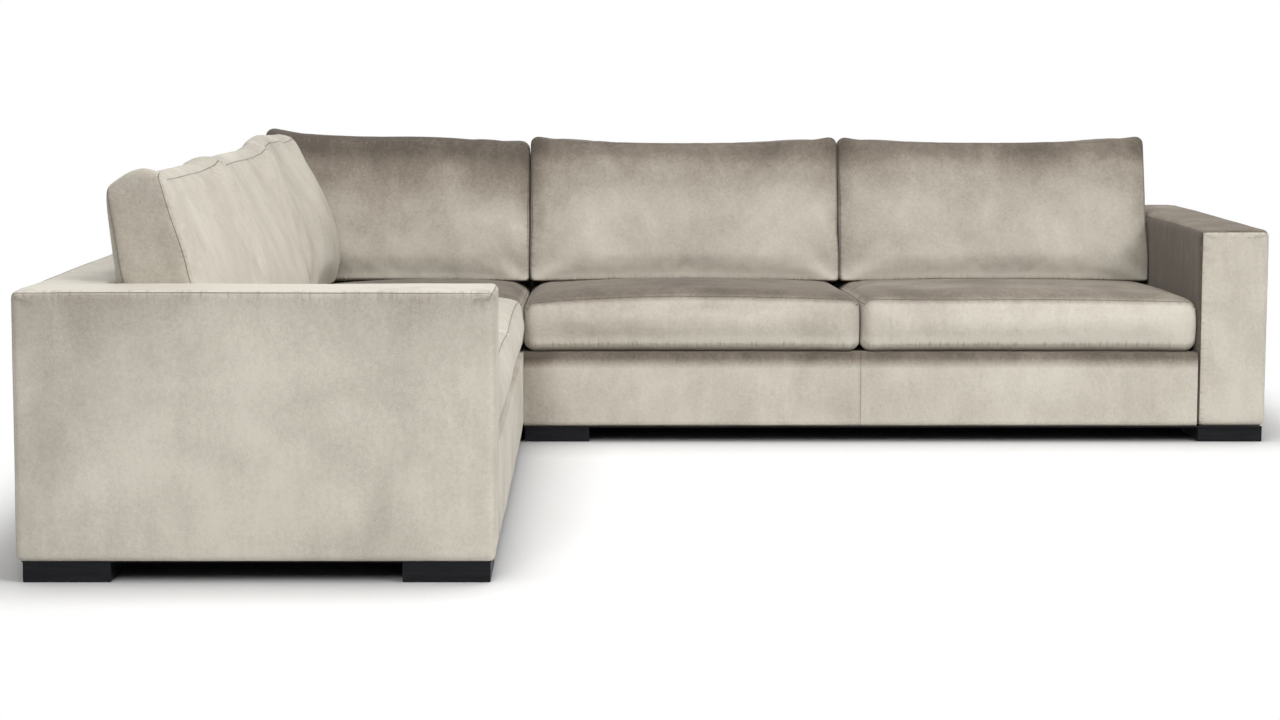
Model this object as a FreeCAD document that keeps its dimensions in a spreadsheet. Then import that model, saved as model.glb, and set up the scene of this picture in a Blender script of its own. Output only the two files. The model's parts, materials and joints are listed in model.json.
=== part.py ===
import FreeCAD, Part
import Sketcher
import math
import os

# Corner sofa: a far run along X, a side run along Y and the corner between them.
# Origin: middle of the outline on the floor. +X to the right, +Y to the far run's back, +Z up.
# Lengths are in millimetres.

Vector = FreeCAD.Vector
doc = FreeCAD.newDocument("corner_sofa")
sizes = doc.addObject("Spreadsheet::Sheet", "Sizes")
places = doc.addObject("Spreadsheet::Sheet", "Places")

driving_sizes = [
    ("run_depth", "1035", "front border to outer back of either run"),
    ("far_seat", "1000", "pitch of the far run's seat cushions"),
    ("side_seat", "855", "pitch of the side run's seat cushions"),
    ("arm_wide", "205", "thickness of an arm"),
    ("arm_top", "633", "height of arms and back frames"),
    ("back_thick", "170", "thickness of a padded back frame"),
    ("border_top", "267", "top of the padded front border"),
    ("foot_tall", "45", "height of a block foot"),
    ("foot_wide", "190", "side of a block foot"),
    ("foot_inset", "12", "foot's distance inside the outline"),
    ("corner_foot_inset", "4", "inner corner foot's distance from the side run"),
    ("arm_foot_inset", "8", "far arm's front foot inside the outline"),
    ("foot_chamfer", "2", "chamfer on a foot's lower edges"),
    ("dust_thick", "1.5", "dust cover under the frame"),
    ("dust_inset", "10", "dust cover's distance inside the outline"),
    ("cloth", "3", "upholstery velvet with its backing"),
    ("wadding", "20", "foam and wadding on arms and backs"),
    ("border_wadding", "18", "foam and wadding on a front border"),
    ("edge_round", "12", "rounding of upholstered edges"),
    ("board", "22", "thickness of frame boards"),
    ("ply", "6", "plywood skins in an arm"),
    ("post_pitch", "760", "largest spacing of back posts"),
    ("rail_tall", "90", "height of inner base rails"),
    ("deck_thick", "15", "deck cloth with its felt"),
    ("strap_thick", "2", "elastic webbing"),
    ("strap_wide", "60", "width of a strap"),
    ("strap_pitch", "125", "largest spacing of straps"),
    ("bolt_radius", "4", "foot bolts and unit bolts"),
    ("bolt_head", "8", "radius of a bolt head"),
    ("head_thick", "5", "thickness of a bolt head"),
    ("bolt_sink", "12", "depth of the head's recess in a foot"),
    ("bolt_bite", "18", "length of bolt above the dust cover"),
    ("hole_clear", "0.2", "clearance round a bolt"),
    ("recess_clear", "1", "clearance round a bolt head in its recess"),
    ("unit_bolt_inset", "150", "unit bolts from the corner's two sides"),
    ("unit_bolt_end", "12", "length of a unit bolt beyond the rails"),
    ("fit_gap", "0.3", "gap between a loose cushion and its neighbour"),
    ("skin", "3", "cushion cover"),
    ("core_clear", "1", "gap between a cushion's cover and its filling"),
    ("seat_front", "172", "seat cushion's thickness at the front seam"),
    ("seat_rear", "132", "seat cushion's thickness at the back frame"),
    ("seat_crown", "10", "rise of the seat's top over a straight line"),
    ("seat_arch", "14", "fall of the front seam towards the ends"),
    ("seat_bulge", "8", "swell of a seat cushion's front"),
    ("seat_round", "34", "rounding of a seat cushion's ends"),
    ("back_foot", "240", "back cushion's thickness at the seat"),
    ("back_head", "148", "back cushion's thickness at the top seam"),
    ("back_setoff", "22", "back cushion's foot to the back frame"),
    ("back_overhang", "12", "back cushion's top over the back frame"),
    ("back_seam", "862", "height of the back cushions' top seam"),
    ("back_shoulder", "30", "set-back of the top seam at mid length"),
    ("back_bulge", "34", "swell of a back cushion's front"),
    ("back_crown", "8", "rise of a back cushion's top"),
    ("back_round", "26", "rounding of a back cushion's ends"),
    ("ear_rise", "8", "rise of the top seam near the corners"),
    ("corner_rise", "30", "extra height of the squeezed corner cushions"),
]

worked_out_places = [
    ("half_x", "(Sizes.run_depth + 2 * Sizes.far_seat + Sizes.arm_wide) / 2"),
    ("half_y", "(Sizes.run_depth + 2 * Sizes.side_seat + Sizes.arm_wide) / 2"),
    ("left", "-half_x"),
    ("near", "-half_y"),
    ("front_x", "left + Sizes.run_depth"),
    ("front_y", "half_y - Sizes.run_depth"),
    ("arm_x", "half_x - Sizes.arm_wide"),
    ("arm_y", "near + Sizes.arm_wide"),
    ("back_x", "left + Sizes.back_thick"),
    ("back_y", "half_y - Sizes.back_thick"),
    ("base_z", "Sizes.foot_tall + Sizes.dust_thick"),
    ("padding", "Sizes.cloth + Sizes.wadding"),
    ("border_thick", "Sizes.cloth + Sizes.border_wadding + Sizes.board"),
    ("timber_top", "Sizes.border_top - Sizes.deck_thick - Sizes.strap_thick"),
    ("rail_low", "timber_top - Sizes.rail_tall"),
    ("seat_deep", "Sizes.run_depth - Sizes.back_thick"),
    ("cushion_z", "Sizes.border_top + Sizes.fit_gap"),
]

for row, (alias, value, note) in enumerate(driving_sizes, start=1):
    sizes.set(f"A{row}", value)
    sizes.setAlias(f"A{row}", alias)
    sizes.set(f"B{row}", note)
doc.recompute()
for row, (alias, formula) in enumerate(worked_out_places, start=1):
    places.set(f"A{row}", "=" + formula)
    places.setAlias(f"A{row}", alias)
doc.recompute()

X, Y = 0, 1
touching = 0.01  # below this two faces are in one plane
size_names = {alias for alias, value, note in driving_sizes}
place_names = {alias for alias, formula in worked_out_places}
nodes = []


def num(name):
    """The number in a named cell of either sheet."""
    sheet = sizes if name in size_names else places
    return float(sheet.get(name))


def bound(formula):
    """A formula on cell names, written out with each name's sheet."""
    words = []
    for word in formula.replace("(", " ( ").replace(")", " ) ").split():
        if word in size_names:
            word = "Sizes." + word
        elif word in place_names:
            word = "Places." + word
        words.append(word)
    return " ".join(words)


def keep(feature, label):
    """Names a sub-part and puts it on the list of nodes."""
    feature.Label = label
    nodes.append(feature)
    return feature


def block(name, low, high):
    """A box between two corners, each given as three formulas."""
    box = doc.addObject("Part::Box", name)
    for size, start, end in zip(("Length", "Width", "Height"), low, high):
        box.setExpression(size, bound(f"{end} - ( {start} )"))
    for letter, start in zip("xyz", low):
        box.setExpression(f".Placement.Base.{letter}", bound(start))
    return box


def group(name, parts):
    """Several separate solids as one object."""
    compound = doc.addObject("Part::Compound", name)
    compound.Links = parts
    return compound


def cut(name, base, tool):
    """One shape less another."""
    result = doc.addObject("Part::Cut", name)
    result.Base = base
    result.Tool = tool
    return result


def softened(name, box, radius, face=None):
    """A box with its upright and its top edges rounded, or only those of one face.
    A face is given by its axis and the sign of its outward normal."""
    doc.recompute()
    whole = box.Shape.BoundBox
    limits = {(X, -1): whole.XMin, (X, 1): whole.XMax, (Y, -1): whole.YMin, (Y, 1): whole.YMax}
    rounded = []
    for index, edge in enumerate(box.Shape.Edges, start=1):
        if edge.BoundBox.ZMax < whole.ZMin + touching:
            continue
        middle = edge.BoundBox.Center
        if face is None or abs(middle[face[0]] - limits[face]) < touching:
            rounded.append((index, radius, radius))
    fillet = doc.addObject("Part::Fillet", name)
    fillet.Base = box
    fillet.Edges = rounded
    return fillet


def inward(low, high, amount):
    """A box's corners moved in on the four sides and the top, with the bottom left where it is."""
    inner_low = [f"{low[0]} + {amount}", f"{low[1]} + {amount}", low[2]]
    inner_high = [f"{end} - ( {amount} )" for end in high]
    return inner_low, inner_high


# Arms and backs: a velvet cover over wadding over a timber frame, all open underneath

def wall(name, low, high):
    """An upholstered wall's cover and padding as two shells. Returns the frame's space."""
    outer = softened(f"{name}_outer", block(f"{name}_box", low, high), num("edge_round"))
    inner_low, inner_high = inward(low, high, "cloth")
    lining = block(f"{name}_lining_box", inner_low, inner_high)
    lining = softened(f"{name}_lining", lining, num("edge_round") - num("cloth"))
    keep(cut(f"{name}_skin", outer, lining), f"{name}_cover")
    frame_low, frame_high = inward(low, high, "padding")
    padding_box = block(f"{name}_foam_box", inner_low, inner_high)
    padding_outer = softened(f"{name}_foam", padding_box, num("edge_round") - num("cloth"))
    core = block(f"{name}_core", frame_low, frame_high)
    return cut(f"{name}_wadding", padding_outer, core), frame_low, frame_high


def post_places(first, last):
    """Evenly spaced post positions from one end of a frame to the other."""
    run = last - first - num("board")
    bays = max(1, math.ceil(run / num("post_pitch")))
    return [first + run * bay / bays for bay in range(bays + 1)]


def frame_boards(name, low, high, along, skin=None):
    """Bottom board, top board and posts of a wall, and plywood skins where it has them.
    Where there is no plywood, the boards leave room for webbing on both faces."""
    face = skin or "strap_thick"
    across = 1 - along
    low, high = list(low), list(high)
    board_low, board_high = list(low), list(high)
    board_low[across] = f"{low[across]} + {face}"
    board_high[across] = f"{high[across]} - {face}"
    bottom = block(f"{name}_bottom", board_low, board_high[:2] + [f"{low[2]} + board"])
    top = block(f"{name}_top", board_low[:2] + [f"{high[2]} - board"], board_high)
    parts = [bottom, top]
    doc.recompute()
    span = bottom.Shape.BoundBox
    ends = ((span.XMin, span.XMax), (span.YMin, span.YMax))[along]
    for number, start in enumerate(post_places(*ends)):
        post_low = board_low[:2] + [f"{low[2]} + board"]
        post_high = board_high[:2] + [f"{high[2]} - board"]
        post_low[along] = f"{start:.4f}"
        post_high[along] = f"{start:.4f} + board"
        parts.append(block(f"{name}_post_{number}", post_low, post_high))
    if skin:
        for side, (start, end) in enumerate(((low[across], f"{low[across]} + {face}"),
                                             (f"{high[across]} - {face}", high[across]))):
            panel_low, panel_high = list(low), list(high)
            panel_low[across], panel_high[across] = start, end
            parts.append(block(f"{name}_panel_{side}", panel_low, panel_high))
    return parts


near_arm = (["left", "near", "base_z"], ["front_x", "arm_y", "arm_top"])
far_arm = (["arm_x", "front_y", "base_z"], ["half_x", "half_y", "arm_top"])
far_back = (["left", "back_y", "base_z"], ["arm_x", "half_y", "arm_top"])
corner_back = (["left", "front_y", "base_z"], ["back_x", "back_y", "arm_top"])
side_back = (["left", "arm_y", "base_z"], ["back_x", "front_y", "arm_top"])

foot_corners = {
    "foot_near_left": ("left + foot_inset", "near + foot_inset"),
    "foot_near_right": ("front_x - foot_inset - foot_wide", "near + foot_inset"),
    "foot_side_outer": ("left + foot_inset", "front_y - foot_inset - foot_wide"),
    "foot_inner_corner": ("front_x + corner_foot_inset", "front_y + foot_inset"),
    "foot_arm_front": ("half_x - arm_foot_inset - foot_wide", "front_y + foot_inset"),
    "foot_arm_back": ("half_x - foot_inset - foot_wide", "half_y - foot_inset - foot_wide"),
    "foot_back_middle": ("front_x", "half_y - foot_inset - foot_wide"),
    "foot_back_corner": ("left + foot_inset", "half_y - foot_inset - foot_wide"),
}


def bolt_holes(name, radius, low, high):
    """One cylinder on each foot's bolt axis, between two heights."""
    pins = []
    for foot, (x, y) in foot_corners.items():
        pin = doc.addObject("Part::Cylinder", f"{name}_{foot}")
        pin.setExpression("Radius", bound(radius))
        pin.setExpression("Height", bound(f"{high} - ( {low} )"))
        pin.setExpression(".Placement.Base.x", bound(f"{x} + foot_wide / 2"))
        pin.setExpression(".Placement.Base.y", bound(f"{y} + foot_wide / 2"))
        pin.setExpression(".Placement.Base.z", bound(low))
        pins.append(pin)
    return pins


wall_foam = {}
wall_boards = {}
for wall_name, (low, high), along, wall_skin in (
    ("near_arm", near_arm, X, "ply"),
    ("far_arm", far_arm, Y, "ply"),
    ("far_back", far_back, X, None),
    ("corner_back", corner_back, Y, None),
    ("side_back", side_back, Y, None),
):
    foam, frame_low, frame_high = wall(wall_name, low, high)
    wall_foam[wall_name] = foam
    wall_boards[wall_name] = frame_boards(wall_name, frame_low, frame_high, along, wall_skin)


def drilled(name, solid):
    """A solid with the foot bolts' holes through it."""
    holes = group(f"{name}_holes", bolt_holes(f"{name}_hole", "bolt_radius + hole_clear",
                                              "0", "base_z + bolt_bite + board"))
    return cut(f"{name}_drilled", solid, holes)


for name, members in (("near_arm", ["near_arm"]), ("far_arm", ["far_arm"]),
                      ("far_back", ["far_back", "corner_back"]), ("side_back", ["side_back"])):
    foams = [wall_foam[member] for member in members]
    keep(foams[0] if len(foams) == 1 else group(f"{name}_foams", foams), f"{name}_padding")
    boards = []
    for member in members:
        bottom, *others = wall_boards[member]
        boards += [drilled(f"{member}_bottom", bottom)] + others
    keep(group(f"{name}_boards", boards), f"{name}_frame")

# Front borders: velvet over wadding over the front rail

def border(name, low, high, across, inwards):
    """A run's padded front border as cover, padding and timber rail."""
    def layer(suffix, amount, top):
        layer_low, layer_high = list(low), list(high)
        if inwards > 0:
            layer_low[across] = f"{low[across]} + {amount}"
        else:
            layer_high[across] = f"{high[across]} - ( {amount} )"
        layer_high[2] = top
        return block(f"{name}_{suffix}", layer_low, layer_high)

    outer = softened(f"{name}_outer", block(f"{name}_box", low, high), num("edge_round"),
                     (across, -inwards))
    lining = layer("lining", "cloth", "border_top - cloth")
    rail_room = layer("rail_room", "cloth + border_wadding", "timber_top + strap_thick")
    rail = layer("timber", "cloth + border_wadding", "timber_top")
    keep(cut(f"{name}_skin", outer, lining), f"{name}_cover")
    wadding_box = layer("wadding_box", "cloth", "border_top - cloth")
    keep(cut(f"{name}_wadding", wadding_box, rail_room), f"{name}_padding")
    keep(rail, f"{name}_rail")


border("far_border", ["front_x", "front_y", "base_z"],
       ["arm_x", "front_y + border_thick", "border_top"], Y, 1)
border("side_border", ["front_x - border_thick", "arm_y", "base_z"],
       ["front_x", "front_y", "border_top"], X, -1)

# Base: rear rails, cross rails, and the two end rails that the units' bolts clamp together

unit_bolt_places = ["back_x + unit_bolt_inset", "front_x - border_thick - unit_bolt_inset"]
bolt_line = "rail_low + rail_tall / 2"


def unit_pins(name, radius, low, high):
    """One cylinder along Y at each unit bolt, between two places."""
    pins = []
    for number, x in enumerate(unit_bolt_places):
        pin = doc.addObject("Part::Cylinder", f"{name}_{number}")
        pin.setExpression("Radius", bound(radius))
        pin.setExpression("Height", bound(f"{high} - ( {low} )"))
        pin.Placement = FreeCAD.Placement(Vector(0, 0, 0), FreeCAD.Rotation(Vector(1, 0, 0), -90))
        pin.setExpression(".Placement.Base.x", bound(x))
        pin.setExpression(".Placement.Base.y", bound(low))
        pin.setExpression(".Placement.Base.z", bound(bolt_line))
        pins.append(pin)
    return pins


def inner_rail(name, low, high):
    """An inner base rail between two points of the plan."""
    return block(name, low + ["rail_low"], high + ["timber_top"])


end_rails = [
    inner_rail("corner_end_rail", ["back_x", "front_y"], ["front_x", "front_y + border_thick"]),
    inner_rail("side_end_rail", ["back_x", "front_y - board"], ["front_x - border_thick", "front_y"]),
]
base_parts = []
for rail in end_rails:
    holes = group(f"{rail.Name}_holes", unit_pins(f"{rail.Name}_hole", "bolt_radius + hole_clear",
                                                  "front_y - board", "front_y + border_thick"))
    base_parts.append(cut(f"{rail.Name}_drilled", rail, holes))
base_parts.append(inner_rail("far_rear_rail", ["back_x", "back_y - board"], ["arm_x", "back_y"]))
for number, x in enumerate(("back_x", "front_x", "front_x + far_seat", "arm_x - board")):
    base_parts.append(inner_rail(f"far_cross_rail_{number}", [x, "front_y + border_thick"],
                                 [f"{x} + board", "back_y - board"]))
base_parts.append(inner_rail("side_rear_rail", ["back_x", "arm_y"],
                             ["back_x + board", "front_y - board"]))
for number, y in enumerate(("arm_y", "arm_y + side_seat")):
    base_parts.append(inner_rail(f"side_cross_rail_{number}", ["back_x + board", y],
                                 ["front_x - border_thick", f"{y} + board"]))
foot_x, foot_y = foot_corners["foot_inner_corner"]
foot_block = block("corner_foot_block", [foot_x, "front_y + border_thick", "base_z"],
                   [f"{foot_x} + foot_wide", f"{foot_y} + foot_wide", "base_z + board"])
base_parts.append(drilled("corner_foot_block", foot_block))
keep(group("base_boards", base_parts), "base_rails")

# Unit bolts: a head on the side unit's rail, a nut on the corner's

shanks = unit_pins("unit_shank", "bolt_radius", "front_y - board", "front_y + border_thick + unit_bolt_end")
heads = unit_pins("unit_head", "bolt_head", "front_y - board - head_thick", "front_y - board")
bolts = []
for number, (shank, head) in enumerate(zip(shanks, heads)):
    bolt = doc.addObject("Part::Fuse", f"unit_bolt_{number}")
    bolt.Base, bolt.Tool = shank, head
    bolts.append(bolt)
keep(group("unit_bolt_set", bolts), "unit_bolts")
nut_start = "front_y + border_thick"
nut_blanks = unit_pins("unit_nut_blank", "bolt_head", nut_start, f"{nut_start} + head_thick")
nut_bores = unit_pins("unit_nut_bore", "bolt_radius + hole_clear / 2", nut_start,
                      f"{nut_start} + head_thick")
nuts = [cut(f"unit_nut_{number}", blank, bore)
        for number, (blank, bore) in enumerate(zip(nut_blanks, nut_bores))]
keep(group("unit_nut_set", nuts), "unit_nuts")

# Elastic webbing under the seats and inside the backs

def strap_starts(first, last, pitch):
    """Evenly spaced straps between two ends, each strap's near edge."""
    clear = last - first - num("strap_wide")
    steps = max(1, math.ceil(clear / pitch))
    return [first + clear * (step + 0.5) / (steps + 1) for step in range(steps + 1)]


seat_straps = []
for number, start in enumerate(strap_starts(num("back_x"), num("arm_x"), num("strap_pitch"))):
    seat_straps.append(block(f"far_strap_{number}",
                             [f"{start:.4f}", "front_y + border_thick - board", "timber_top"],
                             [f"{start:.4f} + strap_wide", "back_y", "timber_top + strap_thick"]))
for number, start in enumerate(strap_starts(num("arm_y"), num("front_y"), num("strap_pitch"))):
    seat_straps.append(block(f"side_strap_{number}",
                             ["back_x", f"{start:.4f}", "timber_top"],
                             ["front_x - border_thick + board", f"{start:.4f} + strap_wide",
                              "timber_top + strap_thick"]))
keep(group("seat_straps", seat_straps), "seat_webbing")

back_straps = []
strap_low, strap_high = "base_z", "arm_top - padding"
for number, start in enumerate(strap_starts(num("left") + num("padding"), num("arm_x") - num("padding"),
                                            2 * num("strap_pitch"))):
    back_straps.append(block(f"far_back_strap_{number}",
                             [f"{start:.4f}", "back_y + padding", strap_low],
                             [f"{start:.4f} + strap_wide", "back_y + padding + strap_thick", strap_high]))
for name, first, last in (("corner_back", "front_y", "back_y"), ("side_back", "arm_y", "front_y")):
    for number, start in enumerate(strap_starts(num(first) + num("padding"), num(last) - num("padding"),
                                                2 * num("strap_pitch"))):
        back_straps.append(block(f"{name}_strap_{number}",
                                 ["back_x - padding - strap_thick", f"{start:.4f}", strap_low],
                                 ["back_x - padding", f"{start:.4f} + strap_wide", strap_high]))
keep(group("back_straps", back_straps), "back_webbing")

# Decks that the seat cushions lie on, and the dust covers under the frames

far_sheet = block("far_deck_sheet", ["back_x", "front_y", "border_top - deck_thick"],
                  ["arm_x", "back_y", "border_top"])
far_front = block("far_deck_front", ["front_x", "front_y", "border_top - deck_thick"],
                  ["arm_x", "front_y + border_thick", "border_top"])
keep(cut("far_deck_panel", far_sheet, far_front), "far_deck")
keep(block("side_deck_panel", ["back_x", "arm_y", "border_top - deck_thick"],
           ["front_x - border_thick", "front_y", "border_top"]), "side_deck")

for name, low, high in (
    ("far", ["left + dust_inset", "front_y"], ["half_x - dust_inset", "half_y - dust_inset"]),
    ("side", ["left + dust_inset", "near + dust_inset"], ["front_x - dust_inset", "front_y"]),
):
    sheet = block(f"{name}_dust_sheet", low + ["foot_tall"], high + ["base_z"])
    keep(drilled(f"{name}_dust", sheet), f"{name}_dust_cover")

# Feet: square blocks with a recess for the bolt head

def plane_of(body, role):
    return next(feature for feature in body.Origin.OriginFeatures if feature.Role == role)


def flat_sketch(body, name):
    sketch = body.newObject("Sketcher::SketchObject", name)
    sketch.AttachmentSupport = (plane_of(body, "XY_Plane"), [""])
    sketch.MapMode = "FlatFace"
    return sketch


def square_sketch(body, name, side):
    """A square with one corner on the body's origin."""
    sketch = flat_sketch(body, name)
    width = num(side)
    corners = [Vector(0, 0, 0), Vector(width, 0, 0), Vector(width, width, 0), Vector(0, width, 0)]
    for start, end in zip(corners, corners[1:] + corners[:1]):
        sketch.addGeometry(Part.LineSegment(start, end), False)
    constraints = [Sketcher.Constraint("Coincident", line, 2, (line + 1) % 4, 1) for line in range(4)]
    constraints += [Sketcher.Constraint("Horizontal", line) for line in (0, 2)]
    constraints += [Sketcher.Constraint("Vertical", line) for line in (1, 3)]
    constraints.append(Sketcher.Constraint("Coincident", 0, 1, -1, 1))
    for constraint in constraints:
        sketch.addConstraint(constraint)
    for kind, line in (("DistanceX", 0), ("DistanceY", 1)):
        index = sketch.addConstraint(Sketcher.Constraint(kind, line, 1, line, 2, width))
        sketch.setExpression(f"Constraints[{index}]", bound(side))
    return sketch


def pocket(body, name, radius, depth):
    """A round pocket up from the foot's underside, on its middle."""
    sketch = flat_sketch(body, f"{name}_circle")
    middle = num("foot_wide") / 2
    sketch.addGeometry(Part.Circle(Vector(middle, middle, 0), Vector(0, 0, 1), 5), False)
    for kind in ("DistanceX", "DistanceY"):
        index = sketch.addConstraint(Sketcher.Constraint(kind, -1, 1, 0, 3, middle))
        sketch.setExpression(f"Constraints[{index}]", bound("foot_wide / 2"))
    index = sketch.addConstraint(Sketcher.Constraint("Radius", 0, 5))
    sketch.setExpression(f"Constraints[{index}]", bound(radius))
    hole = body.newObject("PartDesign::Pocket", name)
    hole.Profile = sketch
    hole.Reversed = True
    hole.setExpression("Length", bound(depth))
    return hole


def foot(label, x, y):
    """A block foot with chamfered lower edges, a bolt hole and the bolt head's recess."""
    body = doc.addObject("PartDesign::Body", label)
    pad = body.newObject("PartDesign::Pad", f"{label}_pad")
    pad.Profile = square_sketch(body, f"{label}_square", "foot_wide")
    pad.setExpression("Length", bound("foot_tall"))
    doc.recompute()
    lower = [f"Edge{index}" for index, edge in enumerate(pad.Shape.Edges, start=1)
             if edge.BoundBox.ZMax < touching]
    chamfer = body.newObject("PartDesign::Chamfer", f"{label}_chamfer")
    chamfer.Base = (pad, lower)
    chamfer.setExpression("Size", bound("foot_chamfer"))
    pocket(body, f"{label}_hole", "bolt_radius + hole_clear", "foot_tall")
    body.Tip = pocket(body, f"{label}_recess", "bolt_head + recess_clear", "bolt_sink")
    body.setExpression(".Placement.Base.x", bound(x))
    body.setExpression(".Placement.Base.y", bound(y))
    keep(body, label)


for label, (x, y) in foot_corners.items():
    foot(label, x, y)

foot_bolts = []
bolt_heads = bolt_holes("foot_bolt_head", "bolt_head", "bolt_sink - head_thick", "bolt_sink")
bolt_shanks = bolt_holes("foot_bolt_shank", "bolt_radius", "bolt_sink", "base_z + bolt_bite")
for number, (head, shank) in enumerate(zip(bolt_heads, bolt_shanks)):
    bolt = doc.addObject("Part::Fuse", f"foot_bolt_{number}")
    bolt.Base, bolt.Tool = head, shank
    foot_bolts.append(bolt)
keep(group("foot_bolt_set", foot_bolts), "foot_bolts")

# Loose cushions. Each is lofted along its length (local x) through sections of two arcs and two
# lines; local y runs from the run's front plane to its back frame, and z up from the deck.

def seat_top(y):
    """Height of a seat cushion's top, mid-length, at a distance behind the front."""
    part = y / num("seat_deep")
    slope = num("seat_front") + (num("seat_rear") - num("seat_front")) * part
    return slope + 4 * num("seat_crown") * part * (1 - part)


end_angles = (0, 30, 60, 90)  # where the sections of a rounded end stand on its arc
# Each edge of a section is drawn in at the ends by a share of the rounding
seat_draw = {"front": 0.8, "top_front": 1.0, "top_rear": 0.6, "low": 0.4}
back_draw = {"front": 0.7, "top_front": 0.5, "rear": 0.3, "seam": 0.5, "low": 0.4}


def stations(length, rounding, inset):
    """Places of the sections along a cushion, with how far each is drawn in at the rounded ends."""
    reach = rounding - inset
    ends = [(inset + reach * (1 - math.cos(math.radians(angle))),
             reach * (1 - math.sin(math.radians(angle)))) for angle in end_angles]
    inner = [(length * quarter / 4, 0) for quarter in (1, 2, 3)]
    return ends + inner + [(length - place, drawn) for place, drawn in reversed(ends)]


def section(x, corners, swells):
    """A closed section at x: four corners in y and z, and the mid points of the first two sides."""
    points = [Vector(x, y, z) for y, z in corners]
    middles = [Vector(x, y, z) for y, z in swells]
    edges = [Part.Arc(points[side], middles[side], points[side + 1]).toShape() for side in (0, 1)]
    edges += [Part.makeLine(points[2], points[3]), Part.makeLine(points[3], points[0])]
    return Part.Wire(edges)


def lofted(wires):
    return Part.makeLoft(wires, True, True)


def seat_form(length, deep, inset, floor, corner_sink):
    """A crowned seat cushion. The corner cushion also sinks towards the side run's back."""
    wires = []
    for x, drawn in stations(length, num("seat_round"), inset):
        off_centre = (2 * x / length - 1) ** 2
        sink = seat_top(0) - seat_top(length - x) if corner_sink else 0
        front = num("seat_bulge") + seat_draw["front"] * drawn + inset
        rear = deep - num("fit_gap") - inset
        top_front = num("seat_front") - num("seat_arch") * off_centre - inset - sink
        top_front -= seat_draw["top_front"] * drawn
        top_rear = num("seat_rear") - num("seat_arch") / 2 * off_centre - inset - sink
        top_rear -= seat_draw["top_rear"] * drawn
        low = seat_draw["low"] * drawn + floor
        crown = num("seat_crown") * (1 - off_centre / 2)
        corners = [(front, low), (front, top_front), (rear, top_rear), (rear, low)]
        swells = [(front - num("seat_bulge"), (low + top_front) / 2),
                  ((front + rear) / 2, (top_front + top_rear) / 2 + crown)]
        wires.append(section(x, corners, swells))
    return lofted(wires)


def back_form(length, deep, inset, floor, rises):
    """A crowned, leaning back cushion with raised corners. rises: extra height at its two ends."""
    foot_front = deep - num("back_setoff") - num("back_foot")
    foot_rear = deep - num("back_setoff")
    seat_clear = num("fit_gap") + num("seat_crown") * (num("back_foot") / deep) ** 2
    wires = []
    for x, drawn in stations(length, num("back_round"), inset):
        off_centre = (2 * x / length - 1) ** 2
        rise = (rises[0] + (rises[1] - rises[0]) * x / length) * num("corner_rise")
        seam = num("back_seam") - num("cushion_z") + num("ear_rise") * off_centre ** 2 + rise
        seam -= back_draw["seam"] * drawn + inset
        lift = back_draw["low"] * drawn + floor + seat_clear
        front = foot_front + back_draw["front"] * drawn + inset
        rear = foot_rear - back_draw["rear"] * drawn - inset
        top_rear = deep + num("back_overhang") - back_draw["rear"] * drawn - inset
        top_front = deep + num("back_overhang") - num("back_head") + inset
        top_front += back_draw["top_front"] * drawn + num("back_shoulder") * (1 - off_centre)
        low_front = seat_top(foot_front) + lift
        low_rear = seat_top(foot_rear) + lift
        swell = num("back_bulge") * (1 - off_centre / 2)
        corners = [(front, low_front), (top_front, seam), (top_rear, seam), (rear, low_rear)]
        swells = [((front + top_front) / 2 - swell, (low_front + seam) / 2),
                  ((top_front + top_rear) / 2, seam + num("back_crown"))]
        wires.append(section(x, corners, swells))
    return lofted(wires)


def cushion(label, form, length, start, along_side, *shape):
    """A cushion's cover and core at their place on the far or the side run."""
    deep = num("seat_deep")
    trimmed = length - 2 * num("fit_gap")
    skin = num("skin")
    core_inset = skin + num("core_clear")
    hull = form(trimmed, deep, 0, 0, *shape)
    hollow = form(trimmed, deep, skin, skin, *shape)
    core = form(trimmed, deep, core_inset, skin + num("fit_gap"), *shape)
    if along_side:
        turn = FreeCAD.Rotation(Vector(0, 0, 1), 90)
        base = Vector(num("front_x"), start + num("fit_gap"), num("cushion_z"))
    else:
        turn = FreeCAD.Rotation()
        base = Vector(start + num("fit_gap"), num("front_y"), num("cushion_z"))
    for suffix, shape_made in (("cover", hull.cut(hollow)), ("core", core)):
        feature = doc.addObject("Part::Feature", f"{label}_{suffix}_shape")
        feature.Shape = shape_made
        feature.Placement = FreeCAD.Placement(base, turn)
        keep(feature, f"{label}_{suffix}")


far_seat, side_seat = num("far_seat"), num("side_seat")
front_x, arm_y, front_y = num("front_x"), num("arm_y"), num("front_y")
corner_wide = num("seat_deep")
corner_back_front = corner_wide - num("back_setoff") - num("back_foot") - num("fit_gap")

cushion("far_seat_left", seat_form, far_seat, front_x, False, False)
cushion("far_seat_right", seat_form, far_seat, front_x + far_seat, False, False)
cushion("corner_seat", seat_form, corner_wide, num("back_x"), False, True)
cushion("side_seat_near", seat_form, side_seat, arm_y, True, False)
cushion("side_seat_inner", seat_form, side_seat, arm_y + side_seat, True, False)
cushion("far_back_left", back_form, far_seat, front_x, False, (0, 0))
cushion("far_back_right", back_form, far_seat, front_x + far_seat, False, (0, 0))
cushion("corner_back_far", back_form, corner_wide, num("back_x"), False, (1, 0))
cushion("corner_back_side", back_form, corner_back_front, front_y, True, (0, 1))
cushion("side_back_near", back_form, side_seat, arm_y, True, (0, 0))
cushion("side_back_inner", back_form, side_seat, arm_y + side_seat, True, (0, 0))

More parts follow.
